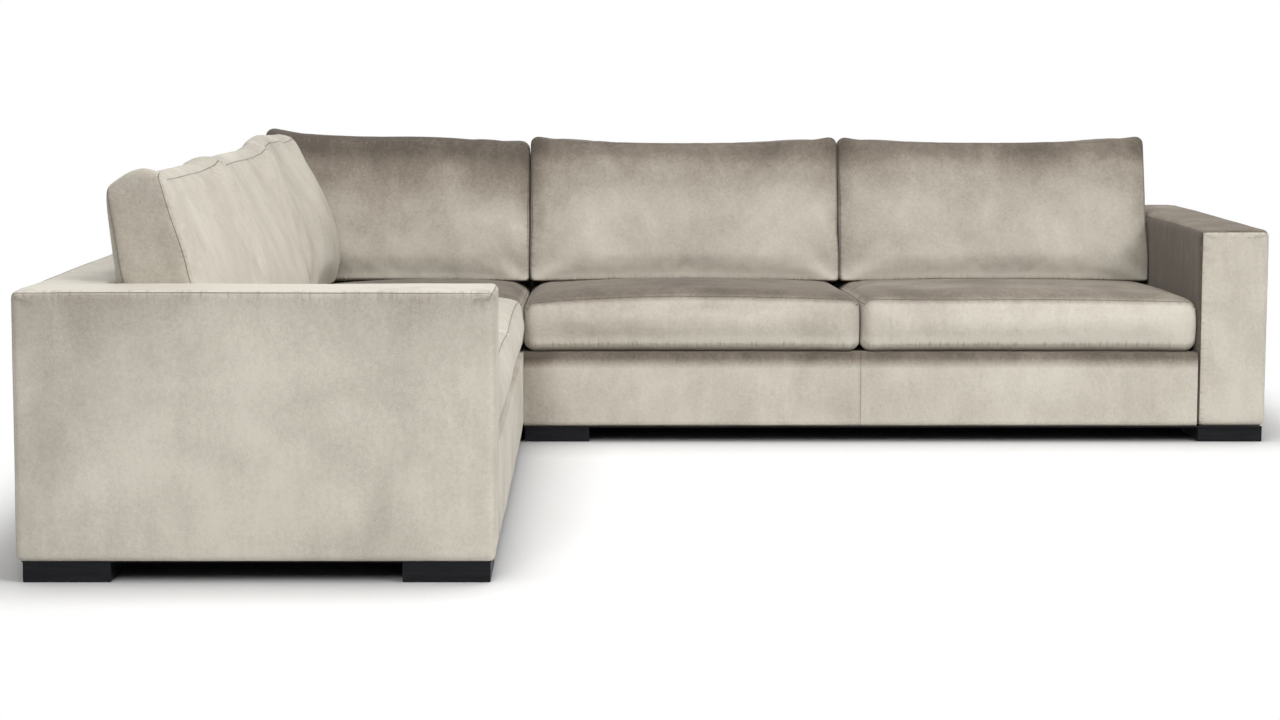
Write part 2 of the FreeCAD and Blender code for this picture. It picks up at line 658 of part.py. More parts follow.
doc.recompute()
for feature in doc.Objects:
    if "Invalid" in feature.State or "Error" in feature.State:
        raise RuntimeError(f"{feature.Name} failed to build: {feature.State}")
for feature in nodes:
    if feature.Shape.isNull() or not feature.Shape.isValid():
        raise RuntimeError(f"{feature.Label} has no valid shape")
os.makedirs("parts", exist_ok=True)
for feature in nodes:
    feature.Shape.exportStep(f"parts/{feature.Label}.step")
outline = Part.makeCompound([feature.Shape for feature in nodes]).BoundBox
print(f"{len(nodes)} nodes, {outline.XLength:.1f} x {outline.YLength:.1f} x {outline.ZLength:.1f} mm")
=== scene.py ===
import json
import math
import bpy
import bmesh
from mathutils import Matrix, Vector, noise
from mathutils.bvhtree import BVHTree


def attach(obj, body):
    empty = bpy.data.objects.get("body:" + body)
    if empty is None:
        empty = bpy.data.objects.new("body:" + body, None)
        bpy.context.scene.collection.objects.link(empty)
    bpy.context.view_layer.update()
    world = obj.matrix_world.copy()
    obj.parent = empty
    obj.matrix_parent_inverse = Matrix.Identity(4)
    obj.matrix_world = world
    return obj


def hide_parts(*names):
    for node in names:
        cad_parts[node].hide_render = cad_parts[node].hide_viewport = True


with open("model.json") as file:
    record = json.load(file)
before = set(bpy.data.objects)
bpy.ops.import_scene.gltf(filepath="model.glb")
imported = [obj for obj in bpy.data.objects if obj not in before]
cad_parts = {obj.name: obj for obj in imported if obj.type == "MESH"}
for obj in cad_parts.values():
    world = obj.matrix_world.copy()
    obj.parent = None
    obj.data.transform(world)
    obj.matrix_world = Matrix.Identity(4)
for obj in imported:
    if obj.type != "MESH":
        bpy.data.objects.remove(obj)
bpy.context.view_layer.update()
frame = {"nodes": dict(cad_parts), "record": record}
print("frame:", len(frame["nodes"]), "nodes")


def placed(name, data):
    made = bpy.data.objects.new(name, data)
    bpy.context.scene.collection.objects.link(made)
    return made


# camera: a low view from far off, a little above the seats, as in the photograph

cameraSetup = {
    "place": (-0.365, -6.437, 1.107),
    "pitch": 5.0,            # degrees below the horizon
    "lens": 65.7,
    "shift": (0.033, -0.068),
    "clip": (0.1, 200),
}

camera = placed("camera", bpy.data.cameras.new("camera"))
camera.location = cameraSetup["place"]
camera.rotation_euler = (math.radians(90 - cameraSetup["pitch"]), 0, 0)
camera.data.lens = cameraSetup["lens"]
camera.data.shift_x, camera.data.shift_y = cameraSetup["shift"]
camera.data.clip_start, camera.data.clip_end = cameraSetup["clip"]
bpy.context.scene.camera = camera
bpy.context.scene.view_settings.view_transform = "Standard"
print("camera placed")


# shader writing: a Wire is one output socket, and sums on it add Math nodes

class Wire:
    def __init__(self, finish, socket):
        self.finish, self.socket = finish, socket

    def maths(self, operation, first, second):
        return self.finish.node("ShaderNodeMath", {"operation": operation}, {0: first, 1: second})

    def __add__(self, other):
        return self.maths("ADD", self, other)

    def __radd__(self, other):
        return self.maths("ADD", other, self)

    def __sub__(self, other):
        return self.maths("SUBTRACT", self, other)

    def __rsub__(self, other):
        return self.maths("SUBTRACT", other, self)

    def __mul__(self, other):
        return self.maths("MULTIPLY", self, other)

    def __rmul__(self, other):
        return self.maths("MULTIPLY", other, self)

    def __pow__(self, other):
        return self.maths("POWER", self, other)


class Finish:
    def __init__(self, owner):
        self.owner = owner                        # a material, or the world
        owner.use_nodes = True
        self.tree = owner.node_tree
        self.tree.nodes.clear()

    def node(self, kind, settings=None, values=None, output=0):
        made = self.tree.nodes.new(kind)
        for key, value in (settings or {}).items():
            setattr(made, key, value)
        for key, value in (values or {}).items():
            if isinstance(value, Wire):
                self.tree.links.new(value.socket, made.inputs[key])
            elif made.inputs[key].type == "RGBA":
                made.inputs[key].default_value = (*value, 1)
            else:
                made.inputs[key].default_value = value
        return Wire(self, made.outputs[output]) if made.outputs else None

    def place(self):
        return self.node("ShaderNodeTexCoord", output="Object")

    def attribute(self, name, output="Fac"):
        return self.node("ShaderNodeAttribute", {"attribute_name": name}, output=output)

    def vectors(self, operation, first, second):
        return self.node("ShaderNodeVectorMath", {"operation": operation}, {0: first, 1: second})

    def grain(self, place, scale, detail, roughness=0.5, distortion=0.0, axes=None):
        # noise, made finer on an axis by the number that axes gives for it
        if axes:
            place = self.node("ShaderNodeMapping", None, {"Vector": place, "Scale": axes}, output="Vector")
        return self.node("ShaderNodeTexNoise", None, {
            "Vector": place, "Scale": scale, "Detail": detail,
            "Roughness": roughness, "Distortion": distortion}, output="Fac")

    def ramp(self, value, low, high, to=(0.0, 1.0), smooth=True):
        kind = "SMOOTHSTEP" if smooth else "LINEAR"
        return self.node("ShaderNodeMapRange", {"interpolation_type": kind}, {
            "Value": value, "From Min": low, "From Max": high, "To Min": to[0], "To Max": to[1]},
            output="Result")

    def fade(self, value, reach):
        return self.ramp(value, 0.0, reach, (1.0, 0.0))

    def blend(self, factor, first, second):
        return self.node("ShaderNodeMix", {"data_type": "RGBA"}, {
            "Factor": factor, 6: first, 7: second}, output=2)

    def relief(self, height, strength):
        return self.node("ShaderNodeBump", None, {
            "Strength": strength, "Distance": 1.0, "Height": height}, output="Normal")

    def principled(self, values):
        return self.node("ShaderNodeBsdfPrincipled", None, values, output="BSDF")

    def close(self, shader, kind="Material"):
        self.node("ShaderNodeOutput" + kind, None, {"Surface": shader})
        return self.owner


# velvet: short crushed pile, brushed light and dark, with gathered plain seams. It also carries painted
# light and shade read from an attribute, and painted shade in its seams and gathers

velvetLook = {
    "pale": (0.63, 0.59, 0.51),
    "shade": (0.235, 0.198, 0.160),
    "deep": (0.06, 0.048, 0.038),
    "roughness": (0.86, 0.68),               # where dark and where pale
    "specular": 0.25, "sheen": 0.18, "sheenRoughness": 0.45, "sheenTint": (0.95, 0.9, 0.83),
    "noises": {
        "clouds": dict(scale=2.3, detail=3.0, roughness=0.55, distortion=0.5, axes=(1.0, 1.0, 1.15)),
        "strokes": dict(scale=7.0, detail=5.0, roughness=0.66, distortion=0.3, axes=(1.0, 1.0, 0.7)),
        "brush": dict(scale=21.0, detail=5.0, roughness=0.72, distortion=0.5, axes=(1.0, 1.0, 0.2)),
        "mottle": dict(scale=90.0, detail=3.0, roughness=0.6),
        "pile": dict(scale=380.0, detail=2.0, roughness=0.7),
    },
    "tone": 0.76,                            # nought is shade and one is pale
    "toneOf": {"clouds": 0.9, "strokes": 0.7, "mottle": 0.35, "pile": 0.60, "brush": 0.25},
    "paintedLightEven": 0.62, "paintedLightInStreaks": 0.72,     # how strongly the painted light and shade, partly the velvet's nap, shows all over and in streaks
    # painted deep shade: tones below nought go towards the deep colour
    "deepOver": (-0.5, 0.1), "deepMost": 0.7,
    "seamWide": 0.0022, "seamGrooveShade": 0.8,     # dark line of a plain seam: its joint, darkened with painted shade of its groove
    "gatherReach": 0.030,                    # how far the gathers run from a seam
    "slackReach": 0.070,                     # how far the wider waves run
    "gathers": (95.0, 30.0, 2.0),            # waves along and across a seam, and their detail
    "slack": (17.0, 9.0, 2.5),
    "drift": 4.0,                            # how soon the waves change from seam to seam
    # painted shade in the troughs of the gathers
    "creaseShadeOver": (0.36, 0.5), "creaseShadeDark": 0.35,
    "relief": {"gathers": 0.0040, "slack": 0.008, "line": -0.0018,
               "strokes": 0.0025, "mottle": 0.0006, "pile": 0.0004},
    "bump": 0.75,
}


def velvet(name, look):
    made = Finish(bpy.data.materials.new(name))
    cut = made.attribute("cut", "Vector")        # each panel is cut from another part of the roll
    place = made.vectors("ADD", made.place(), cut)
    seam = made.attribute("seam")                # metres from the nearest seam
    along = made.attribute("along")              # metres along it
    nap = made.attribute("nap")                  # painted shade below nought and painted light above it, partly the velvet's nap
    loose = made.attribute("loose")              # one on cushions, nought on tight covers
    parts = {part: made.grain(place, **settings) for part, settings in look["noises"].items()}
    tone = look["tone"] + nap * (look["paintedLightEven"] + look["paintedLightInStreaks"] * parts["brush"])
    tone = tone + sum((parts[part] - 0.5) * weight for part, weight in look["toneOf"].items())
    line = made.fade(seam, look["seamWide"])
    gatherFade = made.fade(seam, look["gatherReach"])
    drift = made.node("ShaderNodeVectorMath", {"operation": "SCALE"}, {0: place, "Scale": look["drift"]})

    def seamWaves(lengthwise, crosswise, detail):
        run = made.node("ShaderNodeCombineXYZ", None, {"X": along * lengthwise, "Y": seam * crosswise})
        return made.grain(made.vectors("ADD", run, drift), 1.0, detail, 0.55)

    gathers = seamWaves(*look["gathers"])
    # painted shade in the troughs of the gathers near a seam
    creaseShade = made.ramp(gathers, *look["creaseShadeOver"], (1.0, 0.0)) * gatherFade ** 3.0
    colour = made.blend(made.ramp(tone, 0.0, 1.0, smooth=False), look["shade"], look["pale"])
    # painted deep shade where the tone falls below nought
    colour = made.blend(made.ramp(tone, *look["deepOver"], (look["deepMost"], 0.0)), colour, look["deep"])
    # the seam's dark line: painted shade of its groove
    colour = made.blend(line * look["seamGrooveShade"], colour, look["deep"])
    colour = made.blend(creaseShade * look["creaseShadeDark"], colour, look["shade"])
    parts["line"] = line
    parts["gathers"] = gathers * gatherFade ** 2.0
    parts["slack"] = seamWaves(*look["slack"]) * made.fade(seam, look["slackReach"]) * loose
    height = sum(parts[part] * metres for part, metres in look["relief"].items())
    return made.close(made.principled({
        "Base Color": colour,
        "Roughness": made.ramp(tone, 0.0, 1.0, look["roughness"], smooth=False),
        "Normal": made.relief(height, look["bump"]),
        "Specular IOR Level": look["specular"],
        "Sheen Weight": look["sheen"],
        "Sheen Roughness": look["sheenRoughness"],
        "Sheen Tint": look["sheenTint"]}))


velvetCloth = velvet("champagneVelvet", velvetLook)


# timber: sawn pine inside, and blocks stained near black outside

pineLook = {
    "pale": (0.62, 0.44, 0.26), "dark": (0.44, 0.28, 0.15), "paleOver": (0.35, 0.65),
    "figure": dict(scale=3.0, detail=5.0, roughness=0.6, distortion=1.2, axes=(1.5, 1.5, 22.0)),
    "pores": dict(scale=20.0, detail=3.0, axes=(4.0, 4.0, 60.0)),
    "roughness": (0.6, 0.8), "specular": 0.5, "bump": 0.4, "poresDeep": 0.0008,
}

blockLook = {
    "pale": (0.009, 0.0095, 0.013), "dark": (0.0022, 0.0024, 0.0036), "paleOver": (0.3, 0.75),
    "figure": dict(scale=9.0, detail=5.0, roughness=0.6, distortion=0.5, axes=(1.0, 1.0, 14.0)),
    "pores": dict(scale=30.0, detail=3.0, roughness=0.6, axes=(3.0, 3.0, 40.0)),
    "roughness": (0.42, 0.58), "specular": 0.2, "bump": 0.35, "poresDeep": 0.0006,
}


def wood(name, look):
    made = Finish(bpy.data.materials.new(name))
    place = made.place()
    figure = made.ramp(made.grain(place, **look["figure"]), *look["paleOver"])
    pores = made.grain(place, **look["pores"])
    return made.close(made.principled({
        "Base Color": made.blend(figure, look["dark"], look["pale"]),
        "Roughness": made.ramp(pores, 0.3, 0.7, look["roughness"]),
        "Normal": made.relief(pores * look["poresDeep"], look["bump"]),
        "Specular IOR Level": look["specular"]}))


# plain cloths, wadding, foam and fibre

clothLook = {
    "mottle": dict(scale=14.0, detail=5.0, roughness=0.6), "mottleShare": 0.6,
    "threads": dict(detail=2.0, roughness=0.5), "threadsShare": 0.4, "threadsDeep": 0.0008,
    "paleOver": (0.35, 0.65), "roughness": 0.9, "specular": 0.2, "bump": 0.5,
}


def plainCloth(name, pale, dark, threadScale):
    look = clothLook
    made = Finish(bpy.data.materials.new(name))
    place = made.place()
    mottle = made.grain(place, **look["mottle"])
    threads = made.grain(place, threadScale, **look["threads"])
    tone = made.ramp(mottle * look["mottleShare"] + threads * look["threadsShare"], *look["paleOver"])
    return made.close(made.principled({
        "Base Color": made.blend(tone, dark, pale), "Roughness": look["roughness"],
        "Normal": made.relief(threads * look["threadsDeep"], look["bump"]),
        "Specular IOR Level": look["specular"]}))


steelLook = {
    "pale": (0.62, 0.61, 0.58), "dark": (0.42, 0.41, 0.38), "paleOver": (0.35, 0.7),
    "spots": dict(scale=160.0, detail=4.0, roughness=0.6), "roughness": (0.3, 0.46),
}


def platedSteel(name, look):
    made = Finish(bpy.data.materials.new(name))
    spots = made.grain(made.place(), **look["spots"])
    return made.close(made.principled({
        "Base Color": made.blend(made.ramp(spots, *look["paleOver"]), look["dark"], look["pale"]),
        "Metallic": 1.0, "Roughness": made.ramp(spots, 0.3, 0.7, look["roughness"])}))


slotFinishes = {
    "timber": wood("sawnPine", pineLook),
    "black_block": wood("stainedBlock", blockLook),
    "dust_cloth": plainCloth("dustCloth", (0.03, 0.03, 0.03), (0.012, 0.012, 0.012), 600.0),
    "deck_cloth": plainCloth("deckCloth", (0.52, 0.47, 0.41), (0.38, 0.34, 0.29), 500.0),
    "webbing": plainCloth("elasticWebbing", (0.24, 0.17, 0.11), (0.10, 0.07, 0.045), 350.0),
    "wadding": plainCloth("wadding", (0.84, 0.83, 0.80), (0.70, 0.69, 0.66), 120.0),
    "cushion_foam": plainCloth("seatFoam", (0.80, 0.74, 0.55), (0.70, 0.62, 0.42), 260.0),
    "cushion_fibre": plainCloth("fibreFilling", (0.88, 0.88, 0.86), (0.76, 0.76, 0.74), 90.0),
    "zinc_steel": platedSteel("zincSteel", steelLook),
    "cushion_velvet": velvetCloth,
    "frame_velvet": velvetCloth,
}
slotOfNode = {part["node"]: part["material_slot"] for part in frame["record"]["subparts"]}
for node, shown in frame["nodes"].items():
    finish = slotFinishes[slotOfNode[node]]
    if not shown.material_slots:
        shown.data.materials.append(finish)
    for slot in shown.material_slots:
        slot.material = finish
print("finishes made")


# making cloth pieces

def clothBox(lines):
    # a closed box cut along the given places on each axis
    bm = bmesh.new()
    bmesh.ops.create_cube(bm, size=1)
    low = Vector(places[0] for places in lines)
    high = Vector(places[-1] for places in lines)
    bmesh.ops.translate(bm, verts=bm.verts, vec=(0.5, 0.5, 0.5))
    bmesh.ops.scale(bm, verts=bm.verts, vec=high - low)
    bmesh.ops.translate(bm, verts=bm.verts, vec=low)
    for axis, places in enumerate(lines):
        normal = Vector(1.0 if other == axis else 0.0 for other in range(3))
        for place in places[1:-1]:
            bmesh.ops.bisect_plane(bm, geom=bm.verts[:] + bm.edges[:] + bm.faces[:],
                                   dist=1e-6, plane_co=normal * place, plane_no=normal)
    return bm


def evenly(length, pitch):
    count = max(2, round(length / pitch))
    return [length * step / count for step in range(count + 1)]


def finished(bm, name, body, nodes, material):
    mesh = bpy.data.meshes.new(name)
    bm.to_mesh(mesh)
    bm.free()
    piece = placed(name, mesh)
    mesh.materials.append(material)
    for face in mesh.polygons:
        face.use_smooth = True
    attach(piece, body)
    if nodes:
        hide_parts(*nodes)
    return piece


def paint(piece, name, values):
    # one number or vector for each vertex, read by the velvet
    kind = "FLOAT_VECTOR" if isinstance(values[0], Vector) else "FLOAT"
    layer = piece.data.attributes.new(name, kind, "POINT")
    if kind == "FLOAT":
        layer.data.foreach_set("value", values)
    else:
        layer.data.foreach_set("vector", [part for value in values for part in value])


def softStep(value, low, high):
    # nought at low and one at high, also where high is the smaller
    part = min(1.0, max(0.0, (value - low) / (high - low)))
    return part * part * (3 - 2 * part)


def layered(row, measures):
    # a tone, and amounts added to it over one or two measures each
    tone, layers = row
    for amount, *steps in layers:
        tone += amount * math.prod(softStep(measures[name], low, high) for name, low, high in steps)
    return tone


# loose cushions: boxed envelopes of velvet, filled and then set against their neighbours

cushionMake = {
    "cell": 0.017,           # mesh cell before the last subdivision
    "runDepth": 0.865,       # front border to back frame
    "farFront": 0.440, "sideFront": -0.585,       # the fronts' lines in the room
    "base": 0.2673,          # height of the decks under the seats
    "frameTop": 0.633,
    "gap": 0.0012,
    "press": 0.007,          # how hard neighbours press on each other's ends
    "cut": (7.3, 5.1, 0.77),      # spreads the covers over the roll of velvet
}

seatMake = {
    "thick": 0.15, "front": 0.172, "rear": 0.132, "crown": 0.014,
    "frontInset": 0.004, "rearInset": 0.002, "bulge": 0.010, "bulgeDepth": 0.06,
    "endRound": 0.038, "frontRoll": 0.024, "cornerRound": 0.038,
    "topFall": (0.5, 0.15), "lowFall": (0.45, 0.8),     # shares of the end's and front's rounding
    "rearEndDrop": 0.4,      # share of the front's end drop
    "pressure": 1.0, "shrink": 0.010, "cap": 0.012,
    "overhang": 0.012, "lift": 0.0003,
    "underBack": (0.45, 0.60), "domeHigh": 0.03, "underHigh": 0.001,    # kept low under the backs
    "lowSeamFade": 0.0013,   # the seam under the front is half hidden by the roll above it
}

backMake = {
    "thick": 0.17, "tall": 0.46,
    "footFront": 0.603, "footRear": 0.818, "headFront": 0.744, "headRear": 0.868,
    "seam": 0.866, "tuck": 0.020, "hollow": 0.010, "endRound": 0.022, "rearDrop": 0.030,
    "topFall": 0.6, "frontFall": 0.25, "lowFall": 0.3,  # shares of the ends' rounding
    "topFallFrom": 0.6, "tuckHigh": 0.2,                # places in the height of the box
    "setBackOver": (0.42, 1.05),
    "domeFrom": 0.7, "domeSkew": 0.8, "domeEnds": 0.35,
    "foot": 0.14,            # height that the refit of the seam leaves alone
    "clear": 0.005, "press": 0.017, "pressDeep": 0.4,   # its weight on the seat rounds the foot's front
    "cornerSwell": 0.040,    # the cushion squeezed into the corner swells at its inner end
    "swellOver": (0.25, 0.8), "swellSkew": 0.85,
    "pressure": 1.5, "shrink": 0.018, "cap": 0.022,
    "seatGap": 0.0025, "wallGap": 0.0015,
    "leanOver": (-0.002, 0.03), "lean": 0.04,           # over the frame it may lean back
}

clothMake = {
    "frames": 14, "quality": 5, "weight": 0.3, "air": 3,
    "tension": 20.0, "shear": 8.0, "bending": 0.5, "damping": 8, "bendingDamping": 1,
}

# start and length run along the front. The top front seam drops by lower at mid length, stands
# back by setBack there and drops by the two ends at its ends. The top behind it rises by dome.
cushionColumns = ("kind", "run", "start", "length", "lower", "setBack", "ends", "dome")
cushionRows = {
    "far_seat_left": ("seat", "far", -0.585, 1.000, 0, 0, (0.028, 0.016), 0),
    "far_seat_right": ("seat", "far", 0.415, 1.000, 0.010, 0, (0.002, 0.012), 0),
    "corner_seat": ("seat", "far", -1.450, 0.865, 0, 0, (0.016, 0.016), 0),
    "side_seat_near": ("seat", "side", -1.270, 0.855, 0, 0, (0.018, 0.018), 0),
    "side_seat_inner": ("seat", "side", -0.415, 0.855, 0, 0, (0.018, 0.020), 0),
    "far_back_left": ("back", "far", -0.585, 1.000, 0.002, 0.030, (-0.006, -0.004), 0),
    "far_back_right": ("back", "far", 0.415, 1.000, 0.001, 0.030, (-0.003, -0.006), 0),
    "corner_back_far": ("back", "far", -1.450, 0.865, 0.000, 0.044, (-0.034, 0.012), 0.030),
    "corner_back_side": ("back", "side", 0.440, 0.6027, -0.012, 0.062, (-0.010, -0.022), 0.046),
    "side_back_near": ("back", "side", -1.270, 0.855, 0.018, 0.052, (-0.008, -0.004), 0.032),
    "side_back_inner": ("back", "side", -0.415, 0.855, 0.018, 0.058, (-0.004, -0.010), 0.042),
}
looseCushions = {name: dict(zip(cushionColumns, row)) for name, row in cushionRows.items()}


def endDrop(u, ends):
    return ends[u > 0.5] * (2 * u - 1) ** 2


def fallOff(distance, radius):
    # how far a rounded edge has fallen at a distance from the end
    return radius - math.sqrt(radius ** 2 - (radius - distance) ** 2) if distance < radius else 0.0


def seatTop(depth):
    # height of a seat's top above the deck, mid length
    part = depth / cushionMake["runDepth"]
    slope = seatMake["front"] + (seatMake["rear"] - seatMake["front"]) * part
    return slope + 4 * seatMake["crown"] * part * (1 - part)


def seatForm(name, spot):
    cushion = looseCushions[name]
    u, v, w = spot
    length, ends = cushion["length"], cushion["ends"]
    offCentre = (2 * u - 1) ** 2
    sink = seatTop(0) - seatTop((1 - u) * length) if name == "corner_seat" else 0
    front, rear = seatMake["frontInset"], cushionMake["runDepth"] - seatMake["rearInset"]
    x, y = u * length, (rear - front) * v
    endFall = fallOff(min(x, length - x), seatMake["endRound"])
    roll = fallOff(y, seatMake["frontRoll"])
    topEnd, topRoll = seatMake["topFall"]
    lowEnd, lowRoll = seatMake["lowFall"]
    topFront = seatMake["front"] - cushion["lower"] - endDrop(u, ends) - sink
    topRear = seatMake["rear"] - seatMake["rearEndDrop"] * endDrop(u, ends) - sink
    crown = 4 * seatMake["crown"] * (1 - offCentre / 2) * v * (1 - v)
    top = topFront + (topRear - topFront) * v + crown - topEnd * endFall - topRoll * roll
    low = lowEnd * endFall + lowRoll * roll
    swell = 4 * w * (1 - w) * seatMake["bulge"] * max(0, 1 - y / seatMake["bulgeDepth"])
    turn = seatMake["cornerRound"]
    inset = Vector((min(length - turn, max(turn, x)), max(turn, y)))
    away = Vector((x, y)) - inset
    if away.length > 1e-6:
        away *= max(abs(away.x), abs(away.y)) / away.length
    x, y = inset + away
    return Vector((x, front + y - swell, low + (top - low) * w))


def backForm(name, spot):
    cushion = looseCushions[name]
    u, v, w = spot
    length, ends = cushion["length"], cushion["ends"]
    middle = 1 - (2 * u - 1) ** 2
    x = u * length
    endFall = fallOff(min(x, length - x), backMake["endRound"])
    seam = backMake["seam"] - cushionMake["base"] - endDrop(u, ends) - cushion["lower"] * middle
    seam -= backMake["topFall"] * endFall * softStep(w, backMake["topFallFrom"], 1.0)
    seam -= backMake["rearDrop"] * v ** 2
    front = backMake["footFront"] + (backMake["headFront"] - backMake["footFront"]) * w
    front += backMake["tuck"] * softStep(w, backMake["tuckHigh"], 0.0) + backMake["frontFall"] * endFall
    setBack = cushion["setBack"] * softStep(w, *backMake["setBackOver"])
    front += middle * (setBack + backMake["hollow"] * math.sin(math.pi * w))
    if name == "corner_back_side":
        swell = math.sin(math.pi * w ** backMake["swellSkew"]) * softStep(u, *backMake["swellOver"])
        front -= backMake["cornerSwell"] * swell
    rear = backMake["footRear"] + (backMake["headRear"] - backMake["footRear"]) * w
    deep = front + (rear - front) * v
    low = seatTop(min(cushionMake["runDepth"], deep)) + backMake["lowFall"] * endFall
    low += backMake["clear"] - backMake["press"] * softStep(v, backMake["pressDeep"], 0.0)
    rise = cushion["dome"] * math.sin(math.pi * v ** backMake["domeSkew"])
    rise *= backMake["domeEnds"] + (1 - backMake["domeEnds"]) * middle
    return Vector((x, deep, low + (seam - low) * w + rise * softStep(w, backMake["domeFrom"], 1.0)))


def inRoom(spot, run, start):
    # from a cushion's own place (along, behind the front, above the deck) to the room
    high = cushionMake["base"] + spot.z
    if run == "far":
        return Vector((start + spot.x, cushionMake["farFront"] + spot.y, high))
    return Vector((cushionMake["sideFront"] - spot.y, start + spot.x, high))


pieces, units, begun = {}, {}, {}                 # units: where each point lies in the box, 0 to 1
for name, cushion in looseCushions.items():
    length = cushion["length"]
    if cushion["kind"] == "seat":
        make, form, size = seatMake, seatForm, (length, cushionMake["runDepth"], seatMake["thick"])
    else:
        make, form, size = backMake, backForm, (length, backMake["thick"], backMake["tall"])
    cushion["make"] = make
    cells = [[place / extent for place in evenly(extent, cushionMake["cell"])] for extent in size]
    bm = clothBox(cells)
    panel = 2 if cushion["kind"] == "seat" else 1     # the axis through both panels
    others = [axis for axis in range(3) if axis != panel]
    seams, alongs = [], []
    units[name] = [vert.co.copy() for vert in bm.verts]
    for vert in bm.verts:
        reach = [min(part, 1 - part) * extent for part, extent in zip(vert.co, size)]
        side, other = sorted(others, key=lambda axis: reach[axis])
        lowSeam = cushion["kind"] == "seat" and vert.co.z < 0.5
        seams.append(max(reach[panel], reach[side]) + lowSeam * seatMake["lowSeamFade"])
        alongs.append(reach[other])
        vert.co = form(name, vert.co)
    piece = finished(bm, name, name, (name + "_cover", name + "_core"), velvetCloth)
    paint(piece, "seam", seams)
    paint(piece, "along", alongs)
    pieces[name] = piece
    begun[name] = [vert.co.copy() for vert in piece.data.vertices]

for name, piece in pieces.items():
    make = looseCushions[name]["make"]
    fill = piece.modifiers.new("fill", "CLOTH")
    fill.point_cache.frame_start, fill.point_cache.frame_end = 1, clothMake["frames"]
    cloth = fill.settings
    cloth.quality, cloth.mass = clothMake["quality"], clothMake["weight"]
    cloth.air_damping = clothMake["air"]
    cloth.tension_stiffness = cloth.compression_stiffness = clothMake["tension"]
    cloth.shear_stiffness, cloth.bending_stiffness = clothMake["shear"], clothMake["bending"]
    cloth.tension_damping = cloth.compression_damping = cloth.shear_damping = clothMake["damping"]
    cloth.bending_damping = clothMake["bendingDamping"]
    cloth.use_pressure, cloth.uniform_pressure_force = True, make["pressure"]
    cloth.shrink_min = make["shrink"]
    cloth.effector_weights.gravity = 0
for step in range(1, clothMake["frames"] + 1):
    bpy.context.scene.frame_set(step)
graph = bpy.context.evaluated_depsgraph_get()
for name, piece in pieces.items():
    most = looseCushions[name]["make"]["cap"]     # how far a point may move
    filled = [vert.co.copy() for vert in piece.evaluated_get(graph).data.vertices]
    piece.modifiers.clear()
    for vert, begin, end in zip(piece.data.vertices, begun[name], filled):
        move = end - begin
        if move.length > 1e-6:
            move *= most * math.tanh(move.length / most) / move.length
        vert.co = begin + move
bpy.context.scene.frame_set(1)
print("cushions filled")


def refit(name, mesh):
    # the filled envelope has drawn in: it is eased back to its length and its front seam's height
    cushion = looseCushions[name]
    slack = cushionMake["gap"] - cushionMake["press"]
    foot = cushion["make"].get("foot", 0.0)
    ends = [[vert.co.x for vert, unit in zip(mesh.vertices, units[name])
             if abs(unit.x - side) < 1e-4 and 0.2 < unit.z < 0.8] for side in (0, 1)]
    first, last = (sum(end) / len(end) for end in ends)
    seam = [(vert.co.z, spot.z) for vert, unit, spot in zip(mesh.vertices, units[name], begun[name])
            if unit.z > 0.999 and unit.y < 0.001 and abs(unit.x - 0.5) < 0.2]
    level, target = (sum(part) / len(seam) for part in zip(*seam))
    for vert in mesh.vertices:
        vert.co.x = slack + (vert.co.x - first) * (cushion["length"] - 2 * slack) / (last - first)
        if vert.co.z > foot:
            vert.co.z = foot + (vert.co.z - foot) * (target - foot) / (level - foot)


def seated(name, spot):
    # pressed flat where a cushion meets the deck, the frame or a neighbour
    cushion = looseCushions[name]
    gap, deep = cushionMake["gap"], cushionMake["runDepth"]
    spot.x = min(cushion["length"] - gap, max(gap, spot.x))
    if cushion["kind"] == "seat":
        spot.z = max(seatMake["lift"], spot.z)
        foremost = gap if name == "corner_seat" else -seatMake["overhang"]    # that one's front is met
        spot.y = min(deep - gap, max(foremost, spot.y))
        free = 1 - softStep(spot.y, *seatMake["underBack"])
        spot.z = min(spot.z, seatTop(spot.y) + seatMake["underHigh"] + free * seatMake["domeHigh"])
    else:
        spot.z = max(seatTop(min(spot.y, deep)) + backMake["seatGap"], spot.z)
        overFrame = spot.z - cushionMake["frameTop"] + cushionMake["base"]
        lean = softStep(overFrame, *backMake["leanOver"]) * backMake["lean"]
        spot.y = min(deep - backMake["wallGap"] + lean, spot.y)
    return spot


# painted light and shade, partly the velvet's nap, dark below nought and pale above it: a tone, then
# amounts with what each goes over. Tops, ends and the ends by the near arm get painted shade, the far run's
# low fronts painted light.
# up: how far a face looks up. high and left: place in the box. end: distance to its nearer end.
# nearFace: the end that faces the near arm
cushionPaintedLight = {
    ("seat", "far"): (0.0, (
        (-0.92, ("up", 0.3, 0.85)),
        (-0.16, ("end", 0.05, 0.0)),
        (0.40, ("high", 0.3, 0.0), ("up", 0.85, 0.3)))),
    ("seat", "side"): (0.12, (
        (-0.10, ("up", 0.3, 0.85)),)),
    ("back", "far"): (-0.10, (
        (-0.42, ("high", 0.45, 0.80)),
        (-0.46, ("high", 0.76, 0.95)),
        (-0.20, ("end", 0.07, 0.0)),
        (0.50, ("high", 0.2, 0.0)))),
    ("back", "side"): (0.12, (
        (-0.16, ("up", 0.3, 0.8)),
        (-0.34, ("nearFace", 0, 1)))),
}
# painted light and shade of single cushions: the left seat and the corner ones darker, the right seat paler
cushionPaintedLightMore = {
    "far_seat_left": (-0.08, ()),
    "far_seat_right": (0.08, ()),
    "corner_seat": (-0.2, ()),
    "corner_back_far": (-0.02, (
        (-0.16, ("high", 0.25, 0.8)),
        (-0.10, ("left", 0.8, 0.4)))),
}
rearPaintedLightCut = 0.75         # the rear of the far backs keeps only the rest of its painted light and shade


